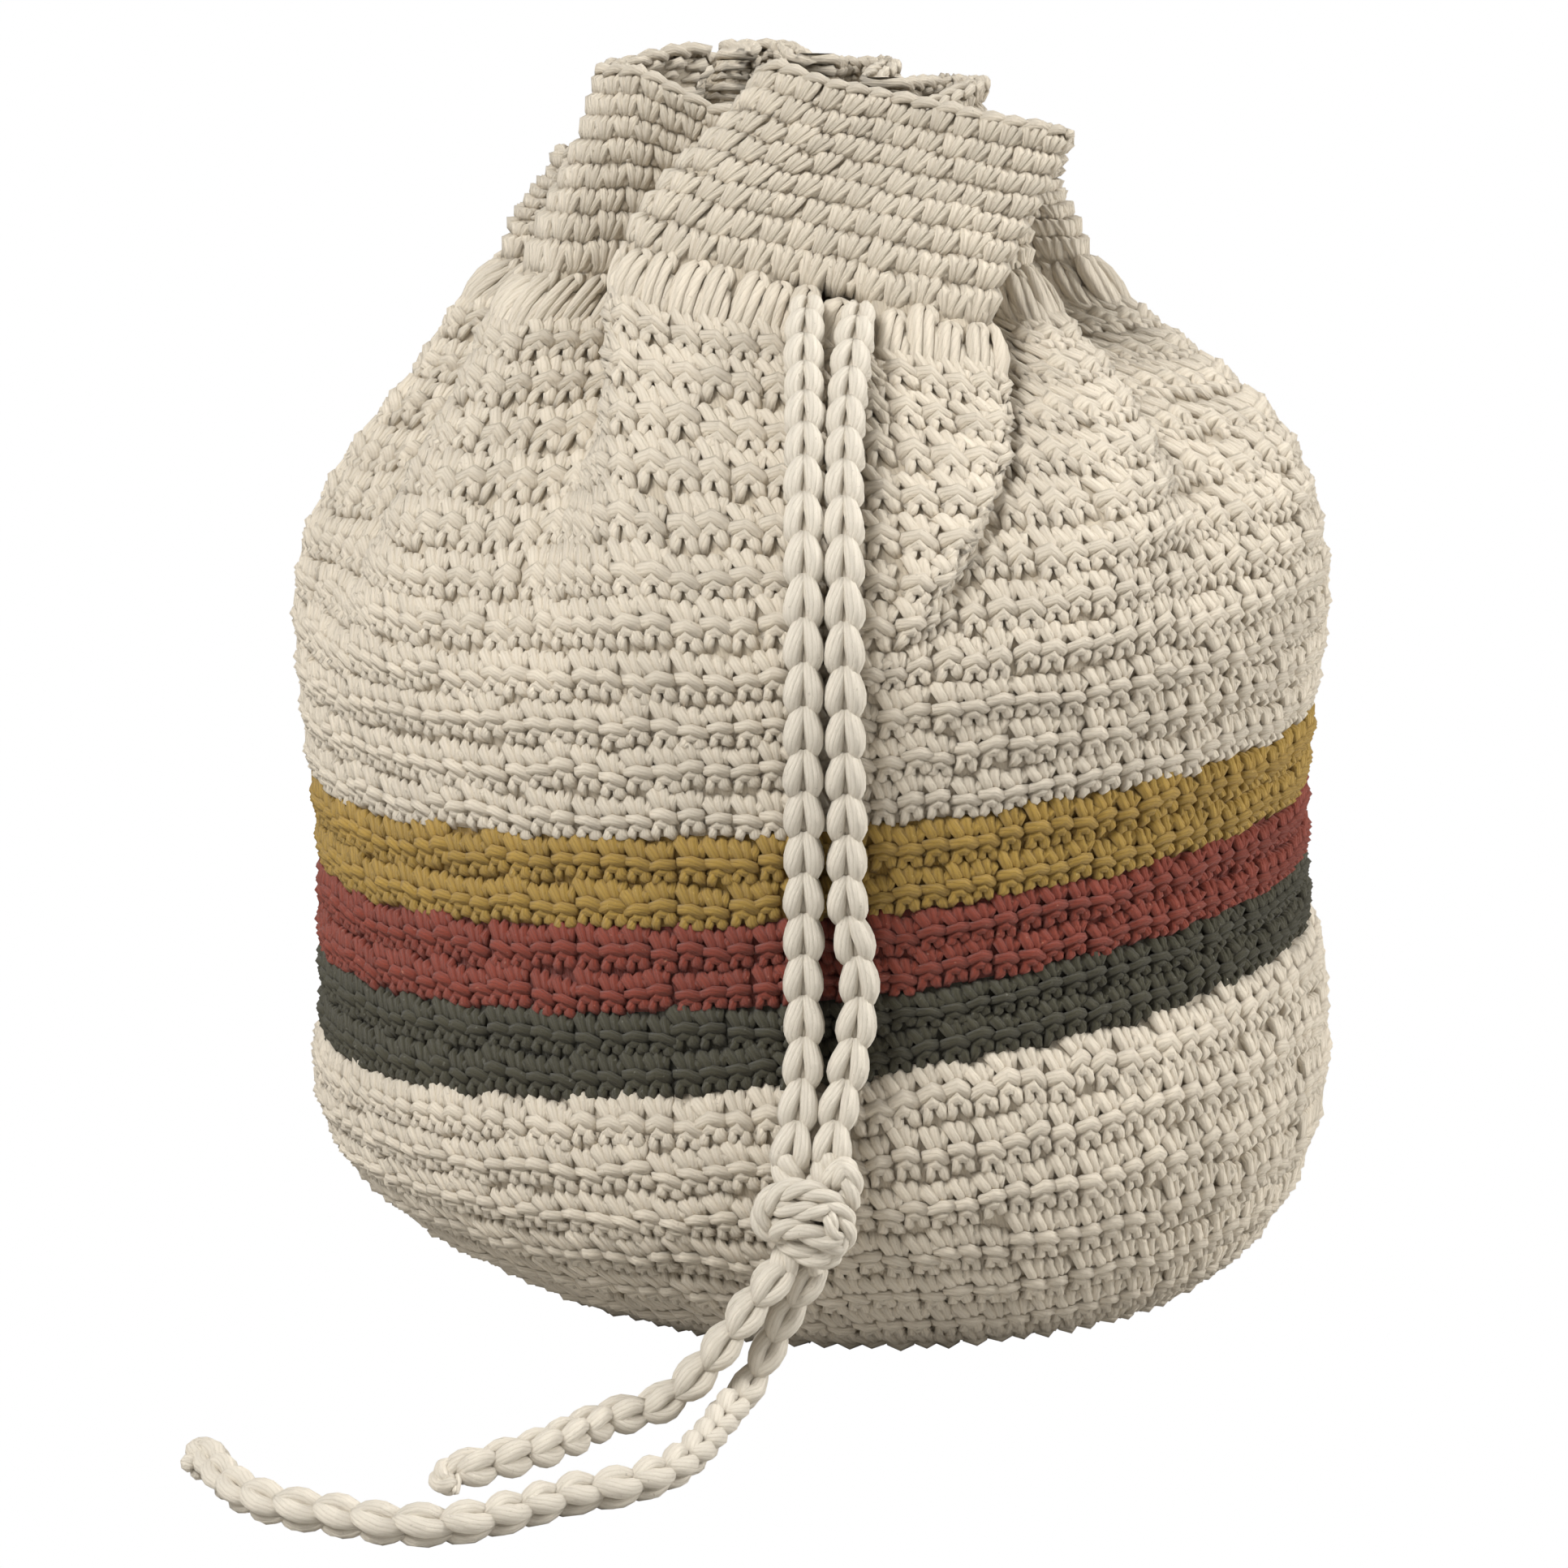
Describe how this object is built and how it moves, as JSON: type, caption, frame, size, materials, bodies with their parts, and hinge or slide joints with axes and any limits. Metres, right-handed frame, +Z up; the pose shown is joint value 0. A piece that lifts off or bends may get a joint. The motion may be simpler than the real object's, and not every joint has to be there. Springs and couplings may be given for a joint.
{
  "type": "crocheted drawstring bag",
  "caption": "Crocheted cotton bucket bag with a round base, coloured stripes and a neck gathered by a knotted crocheted cord.",
  "frame": {"origin": "on the flat underside of the base, below the middle of the bag's belly", "axes": "+Z up, -Y towards the front where the cord hangs, +X to the right seen from the front"},
  "size_m": [0.2548, 0.3345, 0.2896],
  "materials": {
    "natural_cotton": "matt crocheted cotton yarn, undyed",
    "mustard_cotton": "matt crocheted cotton yarn, mustard yellow",
    "terracotta_cotton": "matt crocheted cotton yarn, terracotta red",
    "grey_green_cotton": "matt crocheted cotton yarn, dark grey-green",
    "cord_cotton": "matt chain-crocheted cotton cord, undyed"
  },
  "bodies": {
    "root": {"lower_bag": "natural_cotton", "grey_green_band": "grey_green_cotton", "terracotta_band": "terracotta_cotton", "mustard_band": "mustard_cotton", "upper_wall": "natural_cotton", "drawstring_ring": "cord_cotton", "drawstring_left_run": "cord_cotton", "drawstring_right_run": "cord_cotton", "drawstring_knot": "cord_cotton", "short_tail": "cord_cotton", "long_tail": "cord_cotton"}
  },
  "joints": []
}
